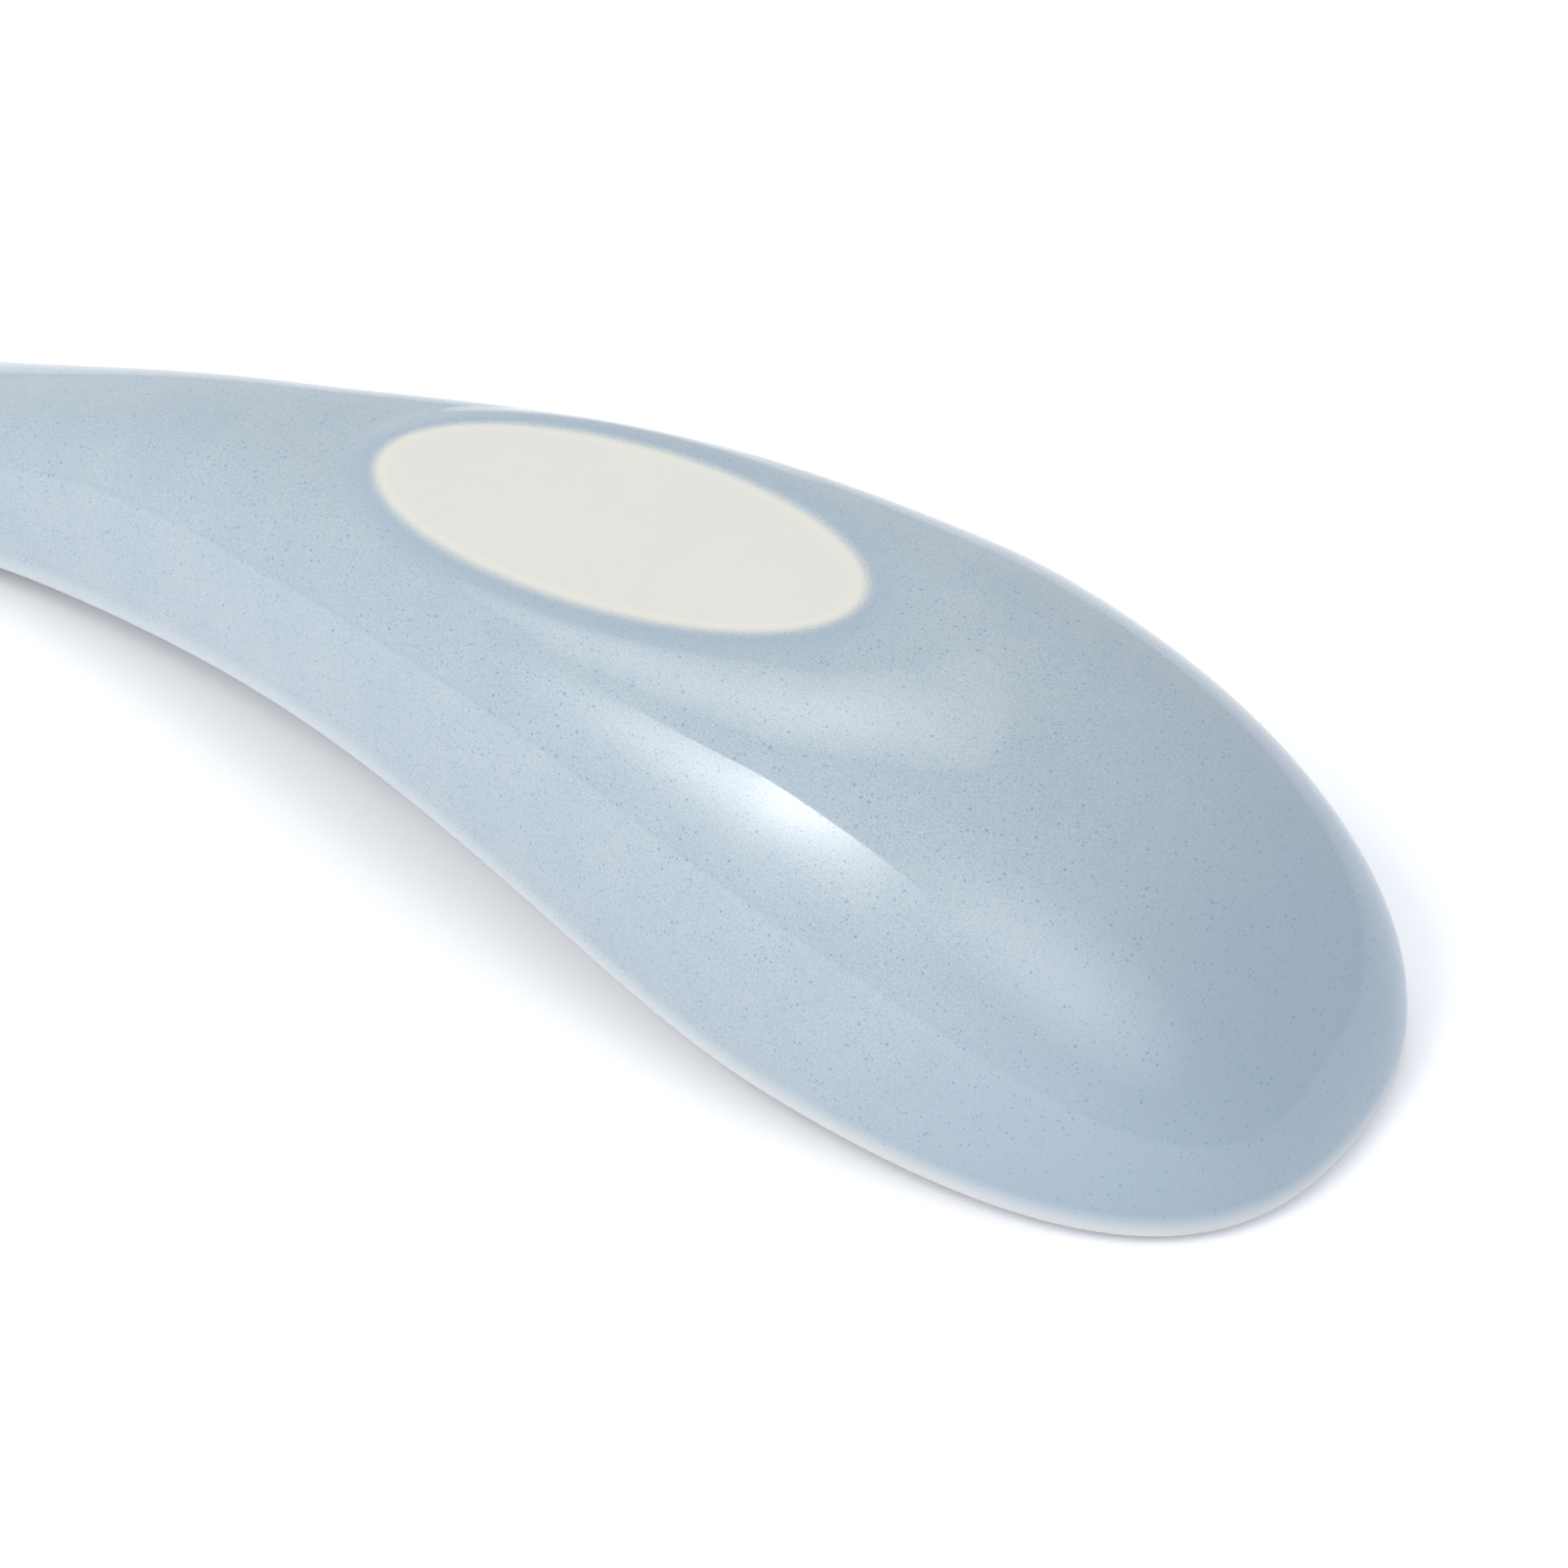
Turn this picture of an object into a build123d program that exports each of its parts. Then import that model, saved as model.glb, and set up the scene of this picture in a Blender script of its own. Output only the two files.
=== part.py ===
"""Glazed porcelain soup spoon, lying face down as it is stored and dried.

A deep, drop-shaped bowl runs back into a channelled handle. The spoon lies on
the lip of its nose and on the butt of its handle, its rim arches clear of the
surface between them, and the bare oval foot that it stands on in use faces up.

The real object is one pressed and fired clay body with a coat of coloured
glaze fused over it, wiped away from the foot. Both are separate solids here:
porcelain_body and glaze_coat. They meet face to face.

Frame: millimetres, +X from the handle to the nose of the bowl, +Z up, origin on
the surface below the middle of the length. The spoon is alike on both sides of
the XZ plane.
"""

import math
import os

from build123d import *

# ---- Driving dimensions, millimetres and degrees --------------------------------

# Lengths along the spoon
spoon_length = 160.0
foot_from_nose = 66.7  # centre of the foot to the nose
widest_from_foot = 29.4  # widest station of the bowl, towards the nose
crown_from_foot = 23.2  # where the back starts to fall to the nose
shoulder_from_foot = 8.0  # the next stations run back towards the butt
heel_from_foot = -15.0
instep_from_foot = -20.0
neck_from_foot = -45.0
grip_from_foot = -70.0
butt_run = 9.0  # length over which the butt rounds off

# Full widths of the outline at those stations
bowl_width = 48.2
shoulder_width = 43.0
heel_width = 34.3
neck_width = 21.7
grip_width = 18.5
butt_width = 19.8

# Heights above the surface that the spoon lies on: the back, then the rim
foot_height = 29.0  # centre of the bare foot
foot_tilt = 3.0  # the foot rises this much towards the nose
instep_fall = 0.5  # how far the back has left the foot's plane at the instep
neck_back_height = 23.5
grip_back_height = 14.8
butt_back_height = 9.6
shoulder_rim_height = 7.7
heel_rim_height = 10.6
neck_rim_height = 6.6
grip_rim_height = 2.2

# Foot
foot_length = 43.8
foot_width = 19.4
foot_turn = 2.0  # the oval is wiped by hand, a little out of line with the spoon
foot_proud = 0.15  # the bare foot stands this much out of the glaze
foot_root = 2.0  # how deep the foot is rooted in the body

# Thicknesses
wall = 3.4  # glazed wall of the bowl
grip_wall = 5.2  # glazed thickness below the crest of the handle
butt_wall = 6.0  # solid length at the end of the handle
glaze = 0.35
lip_round = 1.3  # rounding of each edge of the glazed lip

# Roundness: the share of each quarter curve that its two handles take
nose_plan_round = (0.71, 0.72)  # from the widest station, from the nose
nose_back_round = (0.53, 0.41)  # from the crown, from the nose
butt_round = (0.55, 0.55)
foot_section_round = (0.74, 1.08)  # across the foot: from the crest, from the side
end_section_round = (0.95, 0.63)  # the same, this far from the foot's centre and on
foot_blend = 35.0

# The forms run below the rim before it is trimmed
outer_skirt = 3.0
inner_skirt = 4.0
nose_lap = 0.67  # and this far past the nose
butt_lap = 0.75  # and this far past the butt
tip = 0.1  # the first and last sections stop this far short of closing
trim_reach = 30.0  # how far the trimming cut runs out on every side

# Number of cross-sections over the nose, the back and the butt
nose_stations = 9
back_stations = 14
butt_stations = 6

# ---- Places worked out from them ------------------------------------------------

nose_x = spoon_length / 2
butt_x = -spoon_length / 2
foot_x = nose_x - foot_from_nose
widest_x = foot_x + widest_from_foot
crown_x = foot_x + crown_from_foot
shoulder_x = foot_x + shoulder_from_foot
heel_x = foot_x + heel_from_foot
instep_x = foot_x + instep_from_foot
neck_x = foot_x + neck_from_foot
grip_x = foot_x + grip_from_foot
rear_x = butt_x + butt_run
lip_x = nose_x - wall
foot_slope = math.tan(math.radians(foot_tilt))
foot_plane = Plane(
    origin=(foot_x, 0, foot_height),
    x_dir=(1, 0, foot_slope),
    z_dir=(-foot_slope, 0, 1),
)


def back_at_foot(x):
    """Height of the glazed back where it runs beside the foot."""
    return foot_height - foot_proud + foot_slope * (x - foot_x)


# ---- Guide curves, each moved in from the glazed surface by a depth --------------


def plan_guide(depth, butt_depth):
    """Half width along the spoon, drawn in the XY plane."""
    nose = nose_x + nose_lap - depth
    butt = butt_x - butt_lap + butt_depth
    widest = Vector(widest_x, bowl_width / 2 - depth)
    rear = Vector(rear_x - depth + butt_depth, butt_width / 2 - depth)
    nose_run = nose - widest.X
    butt_reach = rear.X - butt
    with BuildLine(Plane.XY) as guide:
        Bezier(
            (butt, 0),
            (butt, butt_round[1] * rear.Y),
            (rear.X - butt_round[0] * butt_reach, rear.Y),
            rear,
        )
        Spline(
            rear,
            (grip_x, grip_width / 2 - depth),
            (neck_x, neck_width / 2 - depth),
            (heel_x, heel_width / 2 - depth),
            (shoulder_x, shoulder_width / 2 - depth),
            widest,
            tangents=[(1, 0), (1, 0)],
            tangent_scalars=[1, 1],
        )
        Bezier(
            widest,
            (widest.X + nose_plan_round[0] * nose_run, widest.Y),
            (nose, nose_plan_round[1] * widest.Y),
            (nose, 0),
        )
    return guide.wire()


def back_guide(depth, grip_depth, butt_depth, skirt):
    """Height of the crest of the back along the spoon, drawn in the XZ plane."""
    nose = nose_x + nose_lap - depth
    butt = butt_x - butt_lap + butt_depth
    crown = Vector(crown_x, back_at_foot(crown_x) - depth)
    rear = Vector(rear_x - depth + butt_depth, butt_back_height - grip_depth)
    fall = (grip_back_height - butt_back_height) / (grip_x - rear_x)
    nose_run = nose - crown.X
    butt_reach = rear.X - butt
    with BuildLine(Plane.XZ) as guide:
        Bezier(
            (butt, -skirt),
            (butt, butt_round[1] * (rear.Y + skirt) - skirt),
            (rear.X - butt_round[0] * butt_reach, rear.Y - fall * butt_round[0] * butt_reach),
            rear,
        )
        Spline(
            rear,
            (grip_x, grip_back_height - grip_depth),
            (neck_x, neck_back_height - depth),
            (instep_x, back_at_foot(instep_x) - instep_fall - depth),
            (foot_x, back_at_foot(foot_x) - depth),
            crown,
            tangents=[(1, fall), (1, foot_slope)],
            tangent_scalars=[1, 1],
        )
        Bezier(
            crown,
            (crown.X + nose_back_round[0] * nose_run, crown.Y + foot_slope * nose_back_round[0] * nose_run),
            (nose, nose_back_round[1] * (crown.Y + skirt) - skirt),
            (nose, -skirt),
        )
    return guide.wire()


def rim_guide(depth):
    """Height of the rim along the spoon, drawn from the side."""
    with BuildLine(Plane.XZ) as guide:
        Line((butt_x - trim_reach, depth), (rear_x, depth))
        Spline(
            (rear_x, depth),
            (grip_x, grip_rim_height + depth),
            (neck_x, neck_rim_height + depth),
            (heel_x, heel_rim_height + depth),
            (shoulder_x, shoulder_rim_height + depth),
            (lip_x, depth),
            tangents=[(1, 0), (1, 0)],
            tangent_scalars=[1, 1],
        )
        Line((lip_x, depth), (nose_x + trim_reach, depth))
    return guide.wire()


def guide_value(guide, x):
    """Where a guide curve crosses the station at x."""
    crossing = (guide & Plane.YZ.offset(x)).vertices()[0]
    return crossing.Y + crossing.Z


def section_round(x):
    """Roundness of the cross-section at x, blended from the foot to the ends."""
    share = min(abs(x - foot_x) / foot_blend, 1.0)
    blend = math.sin(share * math.pi / 2) ** 2
    return [near + blend * (far - near) for near, far in zip(foot_section_round, end_section_round)]


def stations(butt, rear, nose):
    """Places of the cross-sections, closer together towards both ends."""
    places = []
    for step in range(butt_stations):
        places.append(rear - (rear - butt - tip) * math.cos(step * math.pi / 2 / butt_stations))
    for step in range(back_stations):
        places.append(rear + (crown_x - rear) * step / back_stations)
    for step in range(nose_stations + 1):
        places.append(crown_x + (nose - tip - crown_x) * math.sin(step * math.pi / 2 / nose_stations))
    return places


def form(depth, grip_depth, butt_depth, skirt):
    """The domed form of the spoon, moved in from its glazed surface.

    It runs below the rim by the skirt.
    """
    plan = plan_guide(depth, butt_depth)
    back = back_guide(depth, grip_depth, butt_depth, skirt)
    rim = rim_guide(0)
    nose = nose_x + nose_lap - depth
    butt = butt_x - butt_lap + butt_depth
    sections = []
    for x in stations(butt, rear_x - depth + butt_depth, nose):
        half = guide_value(plan, x)
        low = guide_value(rim, x) - skirt
        top = guide_value(back, x)
        from_crest, from_side = section_round(x)
        with BuildSketch(Plane.YZ.offset(x)) as section:
            with BuildLine():
                for side in (1, -1):
                    Bezier(
                        (0, top),
                        (side * from_crest * half, top),
                        (side * half, low + from_side * (top - low)),
                        (side * half, low),
                    )
                Line((-half, low), (half, low))
            make_face()
        sections.append(section.sketch.face())
    with BuildPart() as dome:
        loft(sections=sections)
    return dome.part


def trimming(depth):
    """Everything below the rim, which arches up between the nose and the butt."""
    rim = rim_guide(depth)
    start = (rim @ 0).X, depth
    end = (rim @ 1).X, depth
    with BuildPart() as block:
        with BuildSketch(Plane.XZ):
            with BuildLine():
                add(Plane.XZ.to_local_coords(rim))
                Polyline(start, (start[0], -trim_reach), (end[0], -trim_reach), end)
            make_face()
        extrude(amount=bowl_width, both=True)
    return block.part


def on_lip(edge, rim):
    """Whether an edge lies on the trimmed rim."""
    points = [edge @ share for share in (0.1, 0.5, 0.9)]
    return all(abs(point.Z - guide_value(rim, point.X)) < glaze / 10 for point in points)


def shell(depth):
    """The whole spoon, with every surface moved in by depth."""
    outside = form(depth, depth, depth, outer_skirt)
    inside = form(wall - depth, grip_wall - depth, butt_wall - depth, inner_skirt)
    below = trimming(depth)
    with BuildPart() as spoon:
        add(outside)
        add(below, mode=Mode.SUBTRACT)
        add(inside, mode=Mode.SUBTRACT)
        lip = [edge for edge in spoon.edges() if on_lip(edge, rim_guide(depth))]
        fillet(lip, radius=lip_round - depth)
    return spoon.part


# ---- The fired clay body, with its bare foot ------------------------------------

with BuildPart() as porcelain_body:
    add(shell(glaze))
    with BuildSketch(foot_plane):
        Ellipse(foot_length / 2, foot_width / 2, rotation=foot_turn)
    extrude(amount=-foot_root)
porcelain_body.part.label = "porcelain_body"

# ---- The coat of glaze, open where the foot comes through ------------------------

with BuildPart() as glaze_coat:
    add(shell(0))
    add(porcelain_body.part, mode=Mode.SUBTRACT)
glaze_coat.part.label = "glaze_coat"

os.makedirs("parts", exist_ok=True)
export_step(porcelain_body.part, "parts/porcelain_body.step")
export_step(glaze_coat.part, "parts/glaze_coat.step")
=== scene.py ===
"""Glazed porcelain soup spoon lying face down, with its bare oval foot facing up.

Laid out as an add-on: one operator makes the porcelain body, one the coat of
glaze, and one the stage. Shapes are worked out in millimetres, in the frame of
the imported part: +X from the butt of the handle to the nose of the bowl, +Z up.
"""

import math

import bpy
import numpy as np
from bpy.props import FloatProperty, FloatVectorProperty, IntProperty, PointerProperty
from mathutils import Euler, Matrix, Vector


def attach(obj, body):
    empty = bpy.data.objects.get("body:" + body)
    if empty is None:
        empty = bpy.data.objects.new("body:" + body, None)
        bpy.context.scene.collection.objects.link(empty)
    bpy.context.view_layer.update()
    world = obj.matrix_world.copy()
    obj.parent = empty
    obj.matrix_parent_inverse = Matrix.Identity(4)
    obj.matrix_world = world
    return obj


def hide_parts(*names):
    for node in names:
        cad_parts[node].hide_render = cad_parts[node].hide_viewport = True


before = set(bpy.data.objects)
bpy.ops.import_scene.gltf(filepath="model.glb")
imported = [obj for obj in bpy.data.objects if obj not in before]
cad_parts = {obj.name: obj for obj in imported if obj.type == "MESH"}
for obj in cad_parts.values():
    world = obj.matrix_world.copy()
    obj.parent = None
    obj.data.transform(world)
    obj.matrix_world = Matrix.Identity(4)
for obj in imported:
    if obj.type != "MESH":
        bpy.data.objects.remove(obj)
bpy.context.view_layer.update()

bl_info = {
    "name": "Porcelain soup spoon",
    "version": (1, 0, 0),
    "blender": (4, 5, 0),
    "location": "View3D > Sidebar > Soup Spoon",
    "description": "A glazed porcelain soup spoon lying face down",
    "category": "Add Mesh",
}

MM = 1000.0  # millimetres in a metre
SPOON_CENTRE = Vector((0.03077, -0.00392, 0.01446))  # what the camera and the lights face, metres
NOT_LENGTHS = ("foot_tilt", "foot_turn", "round_points", "ring_count")
CURVE_POINTS = 1200  # along a quarter curve
OUTLINE_POINTS = 6001  # along one side of the outline, before it is spaced out evenly
SHARP_EDGE = math.radians(50)  # faces that turn by more than this meet in an edge

# Glaze, in millimetres
FEATHER = 1.6  # from the foot, the glaze reaches its full thickness over this distance
GLAZE_EDGE = 0.01  # its thickness at the foot
GLAZE_GAP = 0.03  # away from the foot, the body lies this much deeper than the glaze is thick

# Bands of the glaze and the clay, in millimetres from the foot or from the lip
POOL_RISE = (0.3, 1.1)
POOL_FALL = (1.1, 4.5)
FADE_BAND = (-0.15, 1.45)
FADE_WANDER = 1.1  # how far its grain moves the edge of the glaze
FLASH_BAND = (0.0, 1.0)
FLASH_SHARE = 0.12  # strength of the warm line, on the glaze and on the clay
GLOSS_BAND = (0.0, 0.8)
CLAY_FLASH_BAND = (-1.2, 0.0)
THIN_BAND = (-0.4, 2.0)

# Patterns
SPOT_CORE = 0.35  # share of a spot's radius that is of full strength
GRAIN_FINENESS = 1.7  # grains to each cell of spots
GRAIN_MIDDLE = 0.5
CLOUD_BAND = (0.38, 0.68)  # of the grain, where clouds of deeper tone start and are full
PATCH_BAND = (0.3, 0.7)  # of the broad noise, where its patches start and are full

# Places along the spoon, in metres from the middle of its length
SHADE_REACH = (0.034, 0.072)  # painted shade: the glaze is made darker and bluer towards the nose
SHADE_LIFT = 0.6  # and starts this much further on for each unit of height, so lower parts take the painted shade sooner
LIP_LIGHT_REACH = (0.0, 0.065)  # the lip shows paler towards the nose: painted light on top of the thin glaze
THIN_AND_LIGHT_SHARES = (0.5, 0.85)  # how pale it is at the two ends of that reach: the first is thin glaze, the rise to the second is painted light

# Stage
LAMP_COLOUR = (1.0, 0.965, 0.92)
SKY_COLOUR = (0.905, 0.955, 1.0)
BRIGHT_SKY = Vector((-0.45, -0.30, 0.65))  # direction of the brightest sky
SKY_SPREAD = (-0.5, 0.6)  # cosines from it at which the sky is at its weakest and its strongest
HAZE_SPREAD = (0.0, 0.5)  # heights of a direction at which the haze is full and gone
FLOOR_REACH = 6.0  # metres from the middle to each side
SENSOR_WIDTH = 36.0  # millimetres
CLIP = (0.01, 20.0)  # nearest and furthest that the camera sees, metres


def length(name, description, millimetres):
    """A length property, kept in metres and given in millimetres."""
    return FloatProperty(
        name=name, description=description, default=millimetres / MM, unit="LENGTH", subtype="DISTANCE"
    )


def fraction(name, description, default):
    """A property from 0 to about 1."""
    return FloatProperty(name=name, description=description, default=default, subtype="FACTOR")


def colour(name, description, default):
    """A linear colour property."""
    return FloatVectorProperty(
        name=name, description=description, default=default, size=3, subtype="COLOR", min=0.0, max=1.0
    )


def angle(name, description, degrees):
    """An angle property, kept in radians and given in degrees."""
    return FloatProperty(
        name=name, description=description, default=math.radians(degrees), subtype="ANGLE", unit="ROTATION"
    )


def brightness(name, description, default):
    """A property for the strength of a light."""
    return FloatProperty(name=name, description=description, default=default)


class SoupSpoonShape(bpy.types.PropertyGroup):
    """Sizes of the spoon. Stations along it are counted from the centre of the foot."""

    foot_x: length("Foot position", "Centre of the foot along the spoon", 13.3)
    nose: length("Nose", "From the foot to the nose", 66.6)
    widest: length("Widest station", "From the foot to where the bowl is widest", 29.4)
    crown: length("Crown", "From the foot to where the back starts to fall to the nose", 23.2)
    butt: length("Butt", "From the foot back to the butt of the handle", 93.2)
    butt_run: length("Butt run", "Length over which the butt rounds off", 9.0)
    bowl_half: length("Bowl half width", "Half width at the widest station", 24.1)
    shoulder_half: length("Shoulder half width", "Half width 8 mm ahead of the foot's centre", 21.5)
    heel_half: length("Heel half width", "Half width 15 mm behind the foot's centre", 17.15)
    neck_half: length("Neck half width", "Half width 45 mm behind the foot's centre", 10.85)
    grip_half: length("Grip half width", "Half width 70 mm behind the foot's centre", 9.25)
    butt_half: length("Butt half width", "Half width where the butt starts to round off", 9.9)
    foot_height: length("Foot height", "Height of the foot's centre above the floor", 29.0)
    foot_tilt: angle("Foot tilt", "How far the foot rises towards the nose", 3.0)
    instep_fall: length("Instep fall", "Drop of the back from the foot's plane 20 mm behind it", 0.52)
    neck_back: length("Neck back height", "Height of the back 45 mm behind the foot", 23.31)
    grip_back: length("Grip back height", "Height of the back 70 mm behind the foot", 14.91)
    butt_back: length("Butt back height", "Height of the back where the butt rounds off", 9.6)
    grip_rim: length("Grip rim height", "Height of the rim 70 mm behind the foot", 2.36)
    neck_rim: length("Neck rim height", "Height of the rim 45 mm behind the foot", 6.63)
    heel_rim: length("Heel rim height", "Height of the rim 15 mm behind the foot", 10.62)
    shoulder_rim: length("Shoulder rim height", "Height of the rim 20 mm ahead of the foot", 5.28)
    foot_long: length("Foot half length", "Half length of the bare oval", 21.15)
    foot_wide: length("Foot half width", "Half width of the bare oval", 9.3)
    foot_ahead: length("Foot ahead", "How far the oval lies ahead of its station", -1.05)
    foot_aside: length("Foot aside", "How far the oval lies to the side", 0.36)
    foot_turn: angle("Foot turn", "How far the oval was wiped out of line with the spoon", 2.0)
    wall: length("Wall", "Thickness of the glazed wall", 3.4)
    grip_wall: length("Grip wall", "Thickness below the crest of the handle", 5.2)
    butt_wall: length("Butt wall", "Solid length at the end of the handle", 6.0)
    lip: length("Lip", "Height of the rounding of the lip", 1.35)
    glaze: length("Glaze", "Thickness of the coat of glaze", 0.32)
    round_points: IntProperty(name="Points round", description="Points round each ring", default=640)
    ring_count: IntProperty(name="Rings", description="Rings beyond the band at the foot", default=110)


class SoupSpoonLook(bpy.types.PropertyGroup):
    """Colours and finish of the glaze and of the bare porcelain."""

    glaze_tone: colour("Glaze", "Colour of the glaze over the body", (0.360, 0.412, 0.447))
    # the deep glaze colour is also the colour of the painted shade towards the nose
    glaze_deep_and_shade: colour("Deep glaze", "Colour where the glaze has pooled", (0.270, 0.340, 0.418))
    # the thin glaze colour is also the colour of the painted light on the lip towards the nose
    glaze_thin_and_lit: colour("Thin glaze", "Colour where the glaze is thin on the lip", (0.56, 0.57, 0.57))
    glaze_speck: colour("Specks", "Colour of the specks in the glaze", (0.17, 0.265, 0.385))
    flash: colour("Flash", "Colour of the line where glaze and bare clay meet", (0.80, 0.70, 0.52))
    clay_tone: colour("Bare clay", "Colour of the bare porcelain", (0.545, 0.548, 0.520))
    clay_pit: colour("Pits", "Colour of the small pits in the bare porcelain", (0.55, 0.52, 0.47))
    glaze_roughness: fraction("Glaze roughness", "Roughness of the glaze", 0.045)
    clay_roughness: fraction("Clay roughness", "Roughness of the bare porcelain", 0.62)


class SoupSpoonStage(bpy.types.PropertyGroup):
    """Floor, light and camera."""

    floor_tone: colour("Floor", "Colour of the floor", (0.945, 0.955, 0.99))
    azimuth: angle("Azimuth", "Camera's turn round the spoon", 33.69)
    elevation: angle("Elevation", "Camera's height above the horizon", 41.65)
    distance: length("Distance", "From the camera to the point it looks at", 300.0)
    lens: FloatProperty(name="Lens", description="Focal length", default=89.83, unit="CAMERA")
    sky_low: brightness("Low sky", "Strength of the light from round the nose's side", 0.61)
    sky_high: brightness("High sky", "Strength of the light overhead and on the butt's side", 0.73)
    haze: brightness("Haze", "Strength added to the sky near the horizon", 0.24)
    key: brightness("Key", "Brightness of the softbox at its top edge", 9.8)
    side: brightness("Side", "Brightness of the wide panel ahead of the nose, at its middle", 1.4)
    top: brightness("Top", "Brightness of the panel above and behind, at its middle", 1.8)


# ---- Curves ---------------------------------------------------------------------


def smooth_curve(values_at, start_slope, end_slope):
    """A function that runs smoothly through a value at each station, with the given end slopes."""
    knots = np.array(list(values_at), float)
    values = np.array(list(values_at.values()), float)
    gaps = np.diff(knots)
    rises = np.diff(values) / gaps
    size = len(knots)
    system = np.eye(size)
    right = np.zeros(size)
    right[0], right[-1] = start_slope, end_slope
    for row in range(1, size - 1):
        system[row, row - 1 : row + 2] = gaps[row], 2 * (gaps[row - 1] + gaps[row]), gaps[row - 1]
        right[row] = 3 * (gaps[row] * rises[row - 1] + gaps[row - 1] * rises[row])
    slopes = np.linalg.solve(system, right)

    def value(x):
        place = np.clip(np.searchsorted(knots, x) - 1, 0, size - 2)
        gap = gaps[place]
        t = (x - knots[place]) / gap
        return (
            (1 + 2 * t) * (1 - t) ** 2 * values[place]
            + t * (1 - t) ** 2 * gap * slopes[place]
            + t * t * (3 - 2 * t) * values[place + 1]
            + t * t * (t - 1) * gap * slopes[place + 1]
        )

    return value


def quarter(run, first, last, lift=0.0):
    """Height of a quarter curve from 1 at run 0 to 0 at run 1, where it arrives upright.

    It leaves level, or at the slope that lift gives. first and last are the shares of the
    run and of the height that its two handles take.
    """
    t = np.linspace(0, 1, CURVE_POINTS)
    across = 3 * (1 - t) ** 2 * t * first + 3 * (1 - t) * t**2 + t**3
    up = (1 - t) ** 3 + 3 * (1 - t) ** 2 * t * (1 + lift * first) + 3 * (1 - t) * t**2 * last
    return np.interp(run, across, up)


def ease(share_of_way):
    """A smooth step from 0 to 1."""
    t = np.clip(share_of_way, 0, 1)
    return t * t * (3 - 2 * t)


class SpoonForm:
    """One surface of the spoon, in millimetres from the centre of the foot.

    The outside and the hollow are both drawn this way, from their own sizes.
    """

    # Stations, counted from the foot's centre towards the nose
    grip = -70
    neck = -45
    instep = -20
    heel = -15
    shoulder = 8
    rim_shoulder = 20

    # Roundness of the quarter curves: what each of their two handles takes
    plan_round = (0.71, 0.72)
    back_round = (0.53, 0.32)
    side_round = (0.42, 0.98)
    butt_round = (0.55, 0.55)

    rim_slopes = (0.05, -0.06)  # of the rim, at the butt and at the nose
    flat_half = 8.3  # half width of the flat across the crest, at the foot's centre
    flat_reach = 39.2  # the flat has run out this far from the foot's centre
    flat_limit = 0.8  # the flat takes at most this share of the half width
    crown_share = 0.6  # share of the foot's slope that is left at the crown

    # Rings of points between the oval and the outline
    pull = 26.0  # the smaller, the closer the oval's points sit to its ends
    close_band = 3.0  # width of the band of close rings round the oval
    close_rings = 11
    close_crowding = 1.5  # above 1, these crowd towards the oval
    lip_crowding = 1.8  # above 1, the other rings crowd towards the lip

    def __init__(self, size, slope, turn):
        self.size, self.slope, self.turn = size, slope, turn
        self.lip = size["lip"]
        self.rear = size["butt_run"] - size["butt"]
        self.crown_height = size["foot_height"] + size["crown"] * slope
        self.fall = (size["grip_back"] - size["butt_back"]) / (self.grip - self.rear)
        half_widths = {
            self.rear: size["butt_half"],
            self.grip: size["grip_half"],
            self.neck: size["neck_half"],
            self.heel: size["heel_half"],
            self.shoulder: size["shoulder_half"],
            size["widest"]: size["bowl_half"],
        }
        rims = {
            self.rear: 0.0,
            self.grip: size["grip_rim"],
            self.neck: size["neck_rim"],
            self.heel: size["heel_rim"],
            self.rim_shoulder: size["shoulder_rim"],
            size["nose"]: 0.0,
        }
        backs = {
            self.rear: size["butt_back"],
            self.grip: size["grip_back"],
            self.neck: size["neck_back"],
            self.instep: size["foot_height"] + self.instep * slope - size["instep_fall"],
            0.0: size["foot_height"],
            size["crown"]: self.crown_height,
        }
        self.plan_at = smooth_curve(half_widths, 0.0, 0.0)
        self.rim_at = smooth_curve(rims, *self.rim_slopes)
        self.back_at = smooth_curve(backs, self.fall, slope * self.crown_share)

    def hollow(self):
        """The surface of the hollow inside this one."""
        size = dict(self.size)
        size["nose"] -= size["wall"]
        size["butt"] -= size["butt_wall"]
        for name in ("butt_half", "grip_half", "neck_half", "heel_half", "shoulder_half", "bowl_half"):
            size[name] -= size["wall"]
        for name in ("foot_height", "neck_back"):
            size[name] -= size["wall"]
        for name in ("grip_back", "butt_back"):
            size[name] -= size["grip_wall"]
        return SpoonForm(size, self.slope, self.turn)

    def half_width(self, x):
        """Half width of the outline."""
        s = self.size
        nose_run = np.clip((x - s["widest"]) / (s["nose"] - s["widest"]), 0, 1)
        butt_run = np.clip((self.rear - x) / s["butt_run"], 0, 1)
        middle = self.plan_at(np.clip(x, self.rear, s["widest"]))
        nose = s["bowl_half"] * quarter(nose_run, *self.plan_round)
        butt = s["butt_half"] * quarter(butt_run, *self.butt_round)
        return np.where(x > s["widest"], nose, np.where(x < self.rear, butt, middle))

    def edge(self, x):
        """Height at which the side turns into the lip."""
        inside = np.clip(x, self.rear, self.size["nose"])
        return np.maximum(self.rim_at(inside), 0.0) + self.lip

    def crest(self, x):
        """Height of the back along its middle."""
        s = self.size
        rise = self.crown_height - self.lip
        nose_length = s["nose"] - s["crown"]
        nose_run = np.clip((x - s["crown"]) / nose_length, 0, 1)
        lift = self.slope * self.crown_share * nose_length / rise
        nose = self.lip + rise * quarter(nose_run, *self.back_round, lift)
        butt_run = np.clip((self.rear - x) / s["butt_run"], 0, 1)
        straight = s["butt_back"] + self.fall * (x - self.rear)
        butt = self.lip + (straight - self.lip) * quarter(butt_run, *self.butt_round)
        middle = self.back_at(np.clip(x, self.rear, s["crown"]))
        return np.where(x > s["crown"], nose, np.where(x < self.rear, butt, middle))

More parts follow.
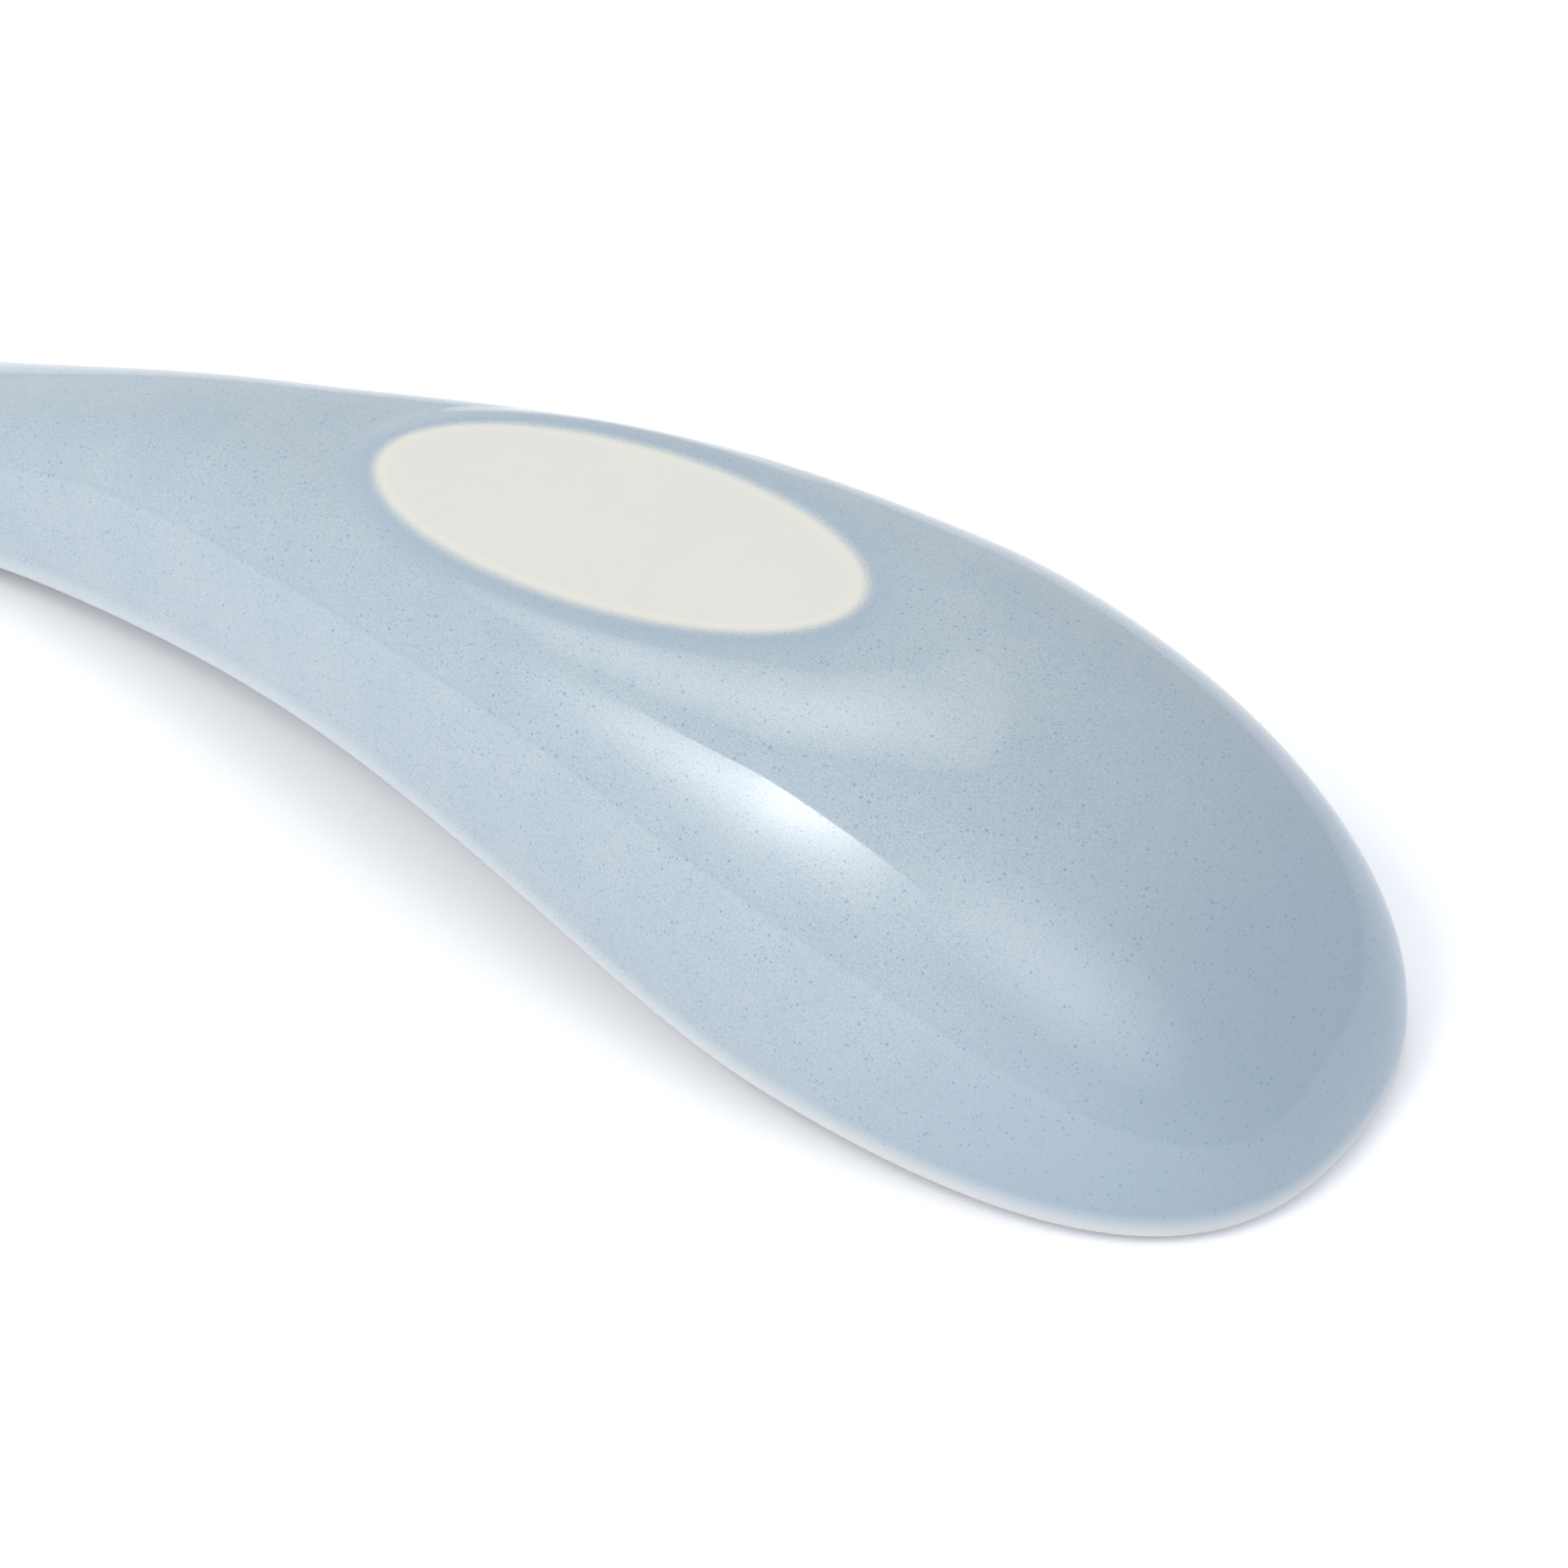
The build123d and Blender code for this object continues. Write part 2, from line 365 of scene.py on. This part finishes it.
    def height(self, x, y):
        """Height of the surface at a place in plan."""
        half, edge, crest = self.half_width(x), self.edge(x), self.crest(x)
        level = self.flat_half * np.cos(np.pi / 2 * np.clip(x / self.flat_reach, -1, 1)) ** 2
        level = np.minimum(level, self.flat_limit * half)
        run = np.clip((np.abs(y) - level) / np.maximum(half - level, 1e-6), 0, 1)
        return edge + (crest - edge) * quarter(run, *self.side_round)

    def foot_plane(self, x):
        """Height of the plane of the foot."""
        return self.size["foot_height"] + self.slope * x

    def outline(self, count):
        """Evenly spaced points round the outline, from the nose through +Y to the butt and back."""
        nose, butt = self.size["nose"], -self.size["butt"]
        x = (nose + butt) / 2 + (nose - butt) / 2 * np.cos(np.linspace(0, np.pi, OUTLINE_POINTS))
        y = self.half_width(x)
        y[0] = y[-1] = 0.0
        run = np.concatenate([[0], np.cumsum(np.hypot(np.diff(x), np.diff(y)))])
        even = np.linspace(0, run[-1], count // 2 + 1)
        px, py = np.interp(even, run, x), np.interp(even, run, y)
        return np.concatenate([px, px[-2:0:-1]]), np.concatenate([py, -py[-2:0:-1]])

    def oval(self, outline_x, outline_y):
        """Points round the oval of the foot, paired with those of the outline."""
        s = self.size
        full = np.where(outline_x > 0, np.tanh(s["nose"] / self.pull), np.tanh(s["butt"] / self.pull))
        along = np.clip(np.tanh(outline_x / self.pull) / full, -1, 1)
        around = np.arccos(along) * np.where(outline_y < 0, -1, 1)
        x, y = s["foot_long"] * np.cos(around), s["foot_wide"] * np.sin(around)
        c, n = math.cos(self.turn), math.sin(self.turn)
        return x * c - y * n + s["foot_ahead"], x * n + y * c + s["foot_aside"]

    def rings(self, count, ring_count):
        """Rings of points from the oval to the outline, and their distance from the oval."""
        ox, oy = self.outline(count)
        ex, ey = self.oval(ox, oy)
        reach = np.hypot(ox - ex, oy - ey)
        near = self.close_band * np.linspace(0, 1, self.close_rings)[:, None] ** self.close_crowding
        far = 1 - (1 - np.linspace(0, 1, ring_count + 1)[1:, None]) ** self.lip_crowding
        away = np.concatenate([near + 0 * reach, near[-1] + (reach - near[-1]) * far])
        part = away / reach
        x, y = ex + (ox - ex) * part, ey + (oy - ey) * part
        z = self.height(x, y)
        z[-1] = self.edge(ox)
        return np.stack([x, y, z], 2), away


def surface_normals(grid):
    """Outward unit normals of a grid of rings."""
    around = np.roll(grid, -1, 1) - np.roll(grid, 1, 1)
    across = np.empty_like(grid)
    across[1:-1] = grid[2:] - grid[:-2]
    across[0] = grid[1] - grid[0]
    across[-1] = grid[-1] - grid[-2]
    normal = np.cross(across, around)
    return normal / np.maximum(np.linalg.norm(normal, axis=2, keepdims=True), 1e-12)


class SpoonSkin:
    """The glazed surface as rings: from the foot's edge down to the lip, round it and up inside."""

    foot_blend = 5.0  # distance over which the plane of the foot turns into the back
    lip_rings = 24
    pan_rings = 14  # in the middle of the hollow, inside its smallest ring
    deep_inside = 20.0  # distance from the lip that is kept for these

    def __init__(self, shape):
        names = [name for name in SoupSpoonShape.__annotations__ if name not in NOT_LENGTHS]
        size = {name: getattr(shape, name) * MM for name in names}
        self.form = SpoonForm(size, math.tan(shape.foot_tilt), shape.foot_turn)
        self.size = size
        count, ring_count = shape.round_points, shape.ring_count
        outer, away = self.form.rings(count, ring_count)
        plane = self.form.foot_plane(outer[:, :, 0])
        outer[:, :, 2] = plane + (outer[:, :, 2] - plane) * ease(away / self.foot_blend)
        hollow = self.form.hollow()
        inner, _ = hollow.rings(count, ring_count // 2)

        # The lip, half round between the outer rim and the inner one
        rim_out, rim_in = outer[-1], inner[-1]
        across = (rim_in - rim_out)[None] / 2
        turns = np.linspace(0, np.pi, self.lip_rings + 2)[1:-1, None, None]
        lip = rim_out + across * (1 - np.cos(turns)) - np.sin(turns) * [0, 0, self.form.lip]

        # The middle of the hollow, closed by one point
        shrink = np.linspace(1, 0, self.pan_rings + 2)[1:-1, None]
        pan_x, pan_y = inner[0, :, 0] * shrink, inner[0, :, 1] * shrink
        pan = np.stack([pan_x, pan_y, hollow.height(pan_x, pan_y)], 2)
        self.hub = np.array([0, 0, float(hollow.height(np.zeros(1), np.zeros(1))[0])])
        self.rings = np.concatenate([outer, lip, inner[::-1], pan])
        self.normals = surface_normals(self.rings)

        # Distances from the foot and from the lip, for the materials
        beyond = np.full((len(self.rings) - len(outer), count), away.max())
        self.from_foot = np.concatenate([away, beyond])
        outside = np.linalg.norm(outer - rim_out, axis=2)
        inside = np.linalg.norm(inner - rim_in, axis=2)[::-1]
        round_lip = -self.form.lip * np.sin(turns[:, :, 0]) + np.zeros(count)
        deep = np.full((self.pan_rings, count), self.deep_inside)
        self.from_lip = np.concatenate([outside, round_lip, inside, deep])

    def covered(self, edge, thickness):
        """The skin moved in by edge at the foot, and by thickness more where the glaze is full."""
        cover = edge + thickness * ease(self.from_foot / FEATHER)
        return self.rings - self.normals * cover[:, :, None]


def make_mesh(name, rings, first_hub, last_hub, along):
    """A closed mesh object of rings of points, closed by a point at either end.

    It is moved along the spoon by the given length.
    """
    count = rings.shape[1]
    points = np.concatenate([rings.reshape(-1, 3), [first_hub, last_hub]])
    points[:, 0] += along
    first, last = len(points) - 2, len(points) - 1
    column = np.arange(count)
    after = (column + 1) % count
    row = np.arange(len(rings) - 1)[:, None] * count
    quads = np.stack([row + column, row + count + column, row + count + after, row + after], 2)
    end = (len(rings) - 1) * count
    faces = quads.reshape(-1, 4).tolist()
    faces += np.stack([np.full(count, first), column, after], 1).tolist()
    faces += np.stack([np.full(count, last), end + after, end + column], 1).tolist()
    mesh = bpy.data.meshes.new(name)
    mesh.from_pydata((points / MM).tolist(), [], faces)
    mesh.polygons.foreach_set("use_smooth", np.ones(len(mesh.polygons), bool))
    mesh.set_sharp_from_angle(angle=SHARP_EDGE)
    mesh.update()
    made = bpy.data.objects.new(name, mesh)
    bpy.context.scene.collection.objects.link(made)
    return made


def keep_values(made, name, values):
    """Keeps one number for each point of a mesh, for its material to read."""
    kept = made.data.attributes.new(name, "FLOAT", "POINT")
    every = np.concatenate([values.ravel(), [values[0, 0], values[-1, 0]]])
    kept.data.foreach_set("value", every.astype(np.float32))


# ---- Materials ------------------------------------------------------------------


def add_node(tree, kind, values=None, **settings):
    """A node with its settings and the values of its unlinked inputs."""
    made = tree.nodes.new(kind)
    for name, value in settings.items():
        setattr(made, name, value)
    for name, value in (values or {}).items():
        made.inputs[name].default_value = value
    return made


def feed(tree, socket, value):
    """Sets an input to a number or a colour, or links an output to it."""
    if isinstance(value, bpy.types.NodeSocket):
        tree.links.new(value, socket)
    else:
        socket.default_value = value


def calculate(tree, operation, *terms):
    """A Math node. Each term is a number or an output."""
    made = add_node(tree, "ShaderNodeMath", operation=operation)
    for place, term in enumerate(terms):
        feed(tree, made.inputs[place], term)
    return made.outputs[0]


def smooth_range(tree, value, low, high, to_low=0.0, to_high=1.0):
    """A Map Range node with eased ends. Each end is a number or an output."""
    made = add_node(tree, "ShaderNodeMapRange", interpolation_type="SMOOTHSTEP")
    tree.links.new(value, made.inputs["Value"])
    for name, end in (("From Min", low), ("From Max", high), ("To Min", to_low), ("To Max", to_high)):
        feed(tree, made.inputs[name], end)
    return made.outputs["Result"]


def lay_colour(tree, under, over, mask, share=1.0):
    """Lays a colour over another where the mask says, taking at most the given share.

    under is a linear colour or an output.
    """
    if share != 1.0:
        mask = calculate(tree, "MULTIPLY", mask, share)
    made = add_node(tree, "ShaderNodeMix", data_type="RGBA")
    factor, first, second = made.inputs[0], made.inputs[6], made.inputs[7]  # those for colours
    feed(tree, first, under if isinstance(under, bpy.types.NodeSocket) else (*under, 1.0))
    feed(tree, second, (*over, 1.0))
    feed(tree, factor, mask)
    return made.outputs[2]


def new_group(name, inputs, outputs):
    """An empty shader node group with named inputs and outputs."""
    group = bpy.data.node_groups.new(name, "ShaderNodeTree")
    for label, kind, default in inputs:
        made = group.interface.new_socket(name=label, in_out="INPUT", socket_type=kind)
        if default is not None:
            made.default_value = default
    for label, kind in outputs:
        group.interface.new_socket(name=label, in_out="OUTPUT", socket_type=kind)
    return group, group.nodes.new("NodeGroupInput"), group.nodes.new("NodeGroupOutput")


def fine_grain_group():
    """Specks or pits: small spots of mixed size, scattered at random."""
    found = bpy.data.node_groups.get("Fine Grain")
    if found:
        return found
    group, start, end = new_group(
        "Fine Grain",
        [
            ("Vector", "NodeSocketVector", None),
            ("Spots per mm", "NodeSocketFloat", 1.5),
            ("Spot Size", "NodeSocketFloat", 0.2),
            ("Share", "NodeSocketFloat", 0.5),
        ],
        [("Spots", "NodeSocketFloat"), ("Grain", "NodeSocketFloat")],
    )
    scale = calculate(group, "MULTIPLY", start.outputs["Spots per mm"], MM)
    cells = add_node(group, "ShaderNodeTexVoronoi", {"Randomness": 1.0}, feature="F1")
    group.links.new(start.outputs["Vector"], cells.inputs["Vector"])
    group.links.new(scale, cells.inputs["Scale"])
    pick = add_node(group, "ShaderNodeSeparateColor")
    group.links.new(cells.outputs["Color"], pick.inputs[0])
    chosen = calculate(group, "LESS_THAN", pick.outputs[0], start.outputs["Share"])
    radius = calculate(group, "MULTIPLY", start.outputs["Spot Size"], pick.outputs[1])
    core = calculate(group, "MULTIPLY", radius, SPOT_CORE)
    spot = smooth_range(group, cells.outputs["Distance"], core, radius, 1.0, 0.0)
    group.links.new(calculate(group, "MULTIPLY", spot, chosen), end.inputs["Spots"])
    haze = add_node(group, "ShaderNodeTexNoise", {"Detail": 2.0, "Roughness": 0.6})
    group.links.new(start.outputs["Vector"], haze.inputs["Vector"])
    group.links.new(calculate(group, "MULTIPLY", scale, GRAIN_FINENESS), haze.inputs["Scale"])
    group.links.new(haze.outputs["Fac"], end.inputs["Grain"])
    return group


def kiln_variation_group():
    """Soft, broad changes of tone, as firing leaves them."""
    found = bpy.data.node_groups.get("Kiln Variation")
    if found:
        return found
    group, start, end = new_group(
        "Kiln Variation",
        [("Vector", "NodeSocketVector", None), ("Patches per mm", "NodeSocketFloat", 0.2)],
        [("Variation", "NodeSocketFloat")],
    )
    broad = add_node(group, "ShaderNodeTexNoise", {"Detail": 3.0, "Roughness": 0.55})
    group.links.new(start.outputs["Vector"], broad.inputs["Vector"])
    scale = calculate(group, "MULTIPLY", start.outputs["Patches per mm"], MM)
    group.links.new(scale, broad.inputs["Scale"])
    group.links.new(smooth_range(group, broad.outputs["Fac"], *PATCH_BAND), end.inputs["Variation"])
    return group


def place_group(tree, group, vector, values):
    """A node that uses a group, with its own values."""
    made = add_node(tree, "ShaderNodeGroup", node_tree=group)
    tree.links.new(vector, made.inputs["Vector"])
    for name, value in values.items():
        made.inputs[name].default_value = value
    return made


def new_material(name):
    """A plain material, its nodes and its Principled BSDF."""
    made = bpy.data.materials.new(name)
    made.use_nodes = True
    return made, made.node_tree, made.node_tree.nodes["Principled BSDF"]


def own_place(tree):
    """Places on the object, in its own coordinates."""
    return add_node(tree, "ShaderNodeTexCoord").outputs["Object"]


def read_value(tree, name):
    """The number kept for each point under a name."""
    return add_node(tree, "ShaderNodeAttribute", attribute_name=name).outputs["Fac"]


def fine_grain(tree, vector, per_mm, size, share):
    """Fine grain with so many spots to a millimetre, of this size and share of their cells."""
    values = {"Spots per mm": per_mm, "Spot Size": size, "Share": share}
    return place_group(tree, fine_grain_group(), vector, values)


def kiln_variation(tree, vector, per_mm):
    """Broad variation with so many patches to a millimetre."""
    made = place_group(tree, kiln_variation_group(), vector, {"Patches per mm": per_mm})
    return made.outputs["Variation"]


def add_relief(tree, surface, spots, grain, depths, strength, distance):
    """Bump of a surface from spots and grain, each to its own share of a distance in metres."""
    dents = calculate(tree, "MULTIPLY", spots, depths[0])
    height = calculate(tree, "ADD", dents, calculate(tree, "MULTIPLY", grain, depths[1]))
    bump = add_node(tree, "ShaderNodeBump", {"Strength": strength, "Distance": distance})
    tree.links.new(height, bump.inputs["Height"])
    tree.links.new(bump.outputs["Normal"], surface.inputs["Normal"])


def glaze_material(look):
    """Pale grey-blue glaze: fine specks, bluer where deep, darker and bluer towards the nose as painted
    shade, pale where it runs thin, with painted light on the lip towards the nose.
    """
    made, tree, surface = new_material("Pale blue glaze")
    place = own_place(tree)
    specks = fine_grain(tree, place, per_mm=1.9, size=0.33, share=0.55)
    dust = fine_grain(tree, place, per_mm=3.6, size=0.42, share=0.5)
    grain = dust.outputs["Grain"]
    from_foot = read_value(tree, "from_foot")
    from_lip = read_value(tree, "from_lip")
    axes = add_node(tree, "ShaderNodeSeparateXYZ")
    tree.links.new(place, axes.inputs[0])

    variation = kiln_variation(tree, place, per_mm=0.16)
    tone = lay_colour(tree, look.glaze_tone, look.glaze_deep_and_shade, variation, share=0.22)
    clouds = smooth_range(tree, grain, *CLOUD_BAND)
    tone = lay_colour(tree, tone, look.glaze_speck, clouds, share=0.40)

    # Painted shade: darker, bluer glaze towards the nose, reaching lower parts sooner
    lifted = calculate(tree, "MULTIPLY", axes.outputs["Z"], SHADE_LIFT)
    ahead = calculate(tree, "SUBTRACT", axes.outputs["X"], lifted)
    tone = lay_colour(tree, tone, look.glaze_deep_and_shade, smooth_range(tree, ahead, *SHADE_REACH))
    tone = lay_colour(tree, tone, look.glaze_speck, dust.outputs["Spots"], share=0.9)
    tone = lay_colour(tree, tone, look.glaze_speck, specks.outputs["Spots"])

    pool_near = smooth_range(tree, from_foot, *POOL_RISE)
    pool_far = smooth_range(tree, from_foot, *POOL_FALL, 1.0, 0.0)
    pool = calculate(tree, "MULTIPLY", pool_near, pool_far)
    tone = lay_colour(tree, tone, look.glaze_deep_and_shade, pool, share=0.55)

    # Thin glaze on the lip, made paler towards the nose as painted light
    most = smooth_range(tree, axes.outputs["X"], *LIP_LIGHT_REACH, *THIN_AND_LIGHT_SHARES)
    thin = calculate(tree, "MULTIPLY", smooth_range(tree, from_lip, *THIN_BAND, 1.0, 0.0), most)
    tone = lay_colour(tree, tone, look.glaze_thin_and_lit, thin)

    wander = calculate(tree, "SUBTRACT", grain, GRAIN_MIDDLE)
    edge = calculate(tree, "ADD", from_foot, calculate(tree, "MULTIPLY", wander, FADE_WANDER))
    tone = lay_colour(tree, tone, look.clay_tone, smooth_range(tree, edge, *FADE_BAND, 1.0, 0.0))
    line = smooth_range(tree, from_foot, *FLASH_BAND, 1.0, 0.0)
    tone = lay_colour(tree, tone, look.flash, line, share=FLASH_SHARE)
    tree.links.new(tone, surface.inputs["Base Color"])

    gloss = smooth_range(tree, from_foot, *GLOSS_BAND, look.clay_roughness, look.glaze_roughness)
    tree.links.new(gloss, surface.inputs["Roughness"])
    surface.inputs["IOR"].default_value = 1.6
    spots = specks.outputs["Spots"]
    add_relief(tree, surface, spots, grain, depths=(-0.5, 0.35), strength=0.035, distance=0.00008)
    return made


def clay_material(look):
    """Bare fired porcelain: chalky, with pits, and a warm line at the edge of the glaze."""
    made, tree, surface = new_material("Bare porcelain")
    place = own_place(tree)
    pits = fine_grain(tree, place, per_mm=1.1, size=0.2, share=0.3)
    grit = fine_grain(tree, place, per_mm=4.0, size=0.5, share=0.5)
    variation = kiln_variation(tree, place, per_mm=0.1)
    from_foot = read_value(tree, "from_foot")
    tone = lay_colour(tree, look.clay_tone, look.flash, variation, share=0.06)
    tone = lay_colour(tree, tone, look.clay_pit, pits.outputs["Spots"], share=0.5)
    line = smooth_range(tree, from_foot, *CLAY_FLASH_BAND)
    tone = lay_colour(tree, tone, look.flash, line, share=FLASH_SHARE)
    tree.links.new(tone, surface.inputs["Base Color"])
    surface.inputs["Roughness"].default_value = look.clay_roughness
    surface.inputs["IOR"].default_value = 1.45
    grain = grit.outputs["Grain"]
    add_relief(
        tree, surface, pits.outputs["Spots"], grain, depths=(-1.0, 0.6), strength=0.3, distance=0.0001
    )
    return made


def floor_material(stage):
    """Plain pale matt floor."""
    made, _, surface = new_material("Pale floor")
    surface.inputs["Base Color"].default_value = (*stage.floor_tone, 1.0)
    surface.inputs["Roughness"].default_value = 0.9
    surface.inputs["Specular IOR Level"].default_value = 0.1
    return made


# ---- The pieces -----------------------------------------------------------------


def finish_piece(made, node, material):
    """Gives a piece its material and its place in the frame."""
    made.data.materials.append(material)
    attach(made, "root")
    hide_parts(node)


class SOUPSPOON_OT_porcelain_body(bpy.types.Operator):
    """Makes the fired clay body, with the bare oval foot on its back"""

    bl_idname = "soup_spoon.porcelain_body"
    bl_label = "Porcelain Body"
    foot_rings = 28  # between the middle of the foot and its edge

    def execute(self, context):
        scene = context.scene
        skin = SpoonSkin(scene.soup_spoon_shape)
        under = skin.size["glaze"] + GLAZE_GAP
        edge = skin.rings[0]
        middle = np.array([0.0, 0.0, skin.form.foot_plane(0.0)])
        steps = np.linspace(0, 1, self.foot_rings + 2)[1:-1, None, None]
        foot = middle + (edge - middle) * steps
        inset = np.hypot(edge[:, 0], edge[:, 1]) * (steps[:, :, 0] - 1)
        made = make_mesh(
            "porcelain_body_fired",
            np.concatenate([foot, skin.covered(0.0, under)]),
            middle,
            skin.hub + [0, 0, under],
            skin.size["foot_x"],
        )
        keep_values(made, "from_foot", np.concatenate([inset, skin.from_foot]))
        finish_piece(made, "porcelain_body", clay_material(scene.soup_spoon_look))
        return {"FINISHED"}


class SOUPSPOON_OT_glaze_coat(bpy.types.Operator):
    """Makes the coat of glaze, open round the foot"""

    bl_idname = "soup_spoon.glaze_coat"
    bl_label = "Glaze Coat"

    def execute(self, context):
        scene = context.scene
        skin = SpoonSkin(scene.soup_spoon_shape)
        under = skin.covered(GLAZE_EDGE, skin.size["glaze"])
        made = make_mesh(
            "glaze_coat_fired",
            np.concatenate([under[::-1], skin.rings]),
            skin.hub + [0, 0, skin.size["glaze"]],
            skin.hub,
            skin.size["foot_x"],
        )
        for name, values in (("from_foot", skin.from_foot), ("from_lip", skin.from_lip)):
            keep_values(made, name, np.concatenate([values[::-1], values]))
        finish_piece(made, "glaze_coat", glaze_material(scene.soup_spoon_look))
        return {"FINISHED"}


def add_light(name, radiance, direction, distance, size, fade, shape="ELLIPSE"):
    """A soft light at an azimuth and elevation from the spoon, facing it.

    Distance and size, which is its width and height, are in metres. Its brightness fades
    sideways from its middle, and up and down from the top edge of a rectangle or the middle
    of an ellipse, at the two given rates.
    """
    azimuth, elevation = (math.radians(degrees) for degrees in direction)
    level = math.cos(elevation)
    towards = Vector((math.cos(azimuth) * level, math.sin(azimuth) * level, math.sin(elevation)))
    lamp = bpy.data.lights.new(name, "AREA")
    lamp.shape = shape
    lamp.size, lamp.size_y = size
    lamp.color = LAMP_COLOUR
    lamp.energy = math.pi * size[0] * size[1] * radiance
    lamp.use_nodes = True
    tree = lamp.node_tree
    across = add_node(tree, "ShaderNodeSeparateXYZ")
    tree.links.new(add_node(tree, "ShaderNodeNewGeometry").outputs["Parametric"], across.inputs[0])
    brightest = (0.5, 1.0 if shape == "RECTANGLE" else 0.5)
    terms = []
    for axis, middle, rate in zip("XY", brightest, fade):
        away = calculate(tree, "SUBTRACT", across.outputs[axis], middle)
        terms.append(calculate(tree, "MULTIPLY", calculate(tree, "MULTIPLY", away, away), -rate))
    dim = calculate(tree, "EXPONENT", calculate(tree, "ADD", *terms))
    tree.links.new(dim, tree.nodes["Emission"].inputs["Strength"])
    made = bpy.data.objects.new(name, lamp)
    made.location = SPOON_CENTRE + towards * distance
    made.rotation_mode = "QUATERNION"
    made.rotation_quaternion = (-towards).to_track_quat("-Z", "Y")
    bpy.context.scene.collection.objects.link(made)


def studio_world(stage):
    """Light from all round, stronger overhead and on the butt's side, with haze at the horizon."""
    world = bpy.data.worlds.new("Studio")
    world.use_nodes = True
    tree = world.node_tree
    direction = add_node(tree, "ShaderNodeTexCoord").outputs["Generated"]
    facing = add_node(tree, "ShaderNodeVectorMath", operation="DOT_PRODUCT")
    facing.inputs[1].default_value = BRIGHT_SKY.normalized()
    tree.links.new(direction, facing.inputs[0])
    sky = smooth_range(tree, facing.outputs["Value"], *SKY_SPREAD, stage.sky_low, stage.sky_high)
    height = add_node(tree, "ShaderNodeSeparateXYZ")
    tree.links.new(direction, height.inputs[0])
    haze = smooth_range(tree, height.outputs["Z"], *HAZE_SPREAD, stage.haze, 0.0)
    background = tree.nodes["Background"]
    tree.links.new(calculate(tree, "ADD", sky, haze), background.inputs["Strength"])
    background.inputs["Color"].default_value = (*SKY_COLOUR, 1.0)
    return world


class SOUPSPOON_OT_stage(bpy.types.Operator):
    """Makes the floor, the lights and the camera"""

    bl_idname = "soup_spoon.stage"
    bl_label = "Stage"

    def execute(self, context):
        scene = context.scene
        stage = scene.soup_spoon_stage
        reach = FLOOR_REACH
        mesh = bpy.data.meshes.new("floor")
        corners = [(-reach, -reach, 0), (reach, -reach, 0), (reach, reach, 0), (-reach, reach, 0)]
        mesh.from_pydata(corners, [], [(0, 1, 2, 3)])
        mesh.materials.append(floor_material(stage))
        floor = bpy.data.objects.new("floor", mesh)
        scene.collection.objects.link(floor)

        scene.world = studio_world(stage)
        add_light(
            "Key",
            stage.key,
            direction=(-111, 32),
            distance=0.60,
            size=(0.80, 0.62),
            fade=(25.0, 4.2),
            shape="RECTANGLE",
        )
        add_light(
            "Side", stage.side, direction=(-30, 46), distance=0.80, size=(1.20, 0.80), fade=(8.0, 8.0)
        )
        add_light(
            "Top", stage.top, direction=(132, 64), distance=0.70, size=(0.75, 0.45), fade=(6.0, 6.0)
        )

        lens = bpy.data.cameras.new("Camera")
        lens.lens = stage.lens
        lens.sensor_width = SENSOR_WIDTH
        lens.clip_start, lens.clip_end = CLIP
        camera = bpy.data.objects.new("Camera", lens)
        turn = Euler((math.pi / 2 - stage.elevation, 0.0, stage.azimuth), "XYZ")
        camera.rotation_euler = turn
        camera.location = SPOON_CENTRE + turn.to_matrix() @ Vector((0, 0, stage.distance))
        scene.collection.objects.link(camera)
        scene.camera = camera
        scene.view_settings.view_transform = "Standard"
        return {"FINISHED"}


class SOUPSPOON_PT_panel(bpy.types.Panel):
    """Lists the operators and the sizes that they use"""

    bl_idname = "SOUPSPOON_PT_panel"
    bl_label = "Soup Spoon"
    bl_space_type = "VIEW_3D"
    bl_region_type = "UI"
    bl_category = "Soup Spoon"

    def draw(self, context):
        scene = context.scene
        for operator in OPERATORS:
            self.layout.operator(operator.bl_idname)
        for settings in (scene.soup_spoon_shape, scene.soup_spoon_look, scene.soup_spoon_stage):
            box = self.layout.box()
            for name in settings.__annotations__:
                box.prop(settings, name)


OPERATORS = (SOUPSPOON_OT_porcelain_body, SOUPSPOON_OT_glaze_coat, SOUPSPOON_OT_stage)
SETTINGS = {
    "soup_spoon_shape": SoupSpoonShape,
    "soup_spoon_look": SoupSpoonLook,
    "soup_spoon_stage": SoupSpoonStage,
}


def register():
    """Adds the classes and their settings."""
    for made in (*SETTINGS.values(), *OPERATORS, SOUPSPOON_PT_panel):
        bpy.utils.register_class(made)
    for name, group in SETTINGS.items():
        setattr(bpy.types.Scene, name, PointerProperty(type=group))


def unregister():
    """Takes the classes and their settings away again."""
    for name in SETTINGS:
        delattr(bpy.types.Scene, name)
    for made in (SOUPSPOON_PT_panel, *reversed(OPERATORS), *reversed(SETTINGS.values())):
        bpy.utils.unregister_class(made)


def main():
    """Makes the whole scene."""
    register()
    for name in ("porcelain_body", "glaze_coat", "stage"):
        getattr(bpy.ops.soup_spoon, name)()


if __name__ == "__main__":
    main()
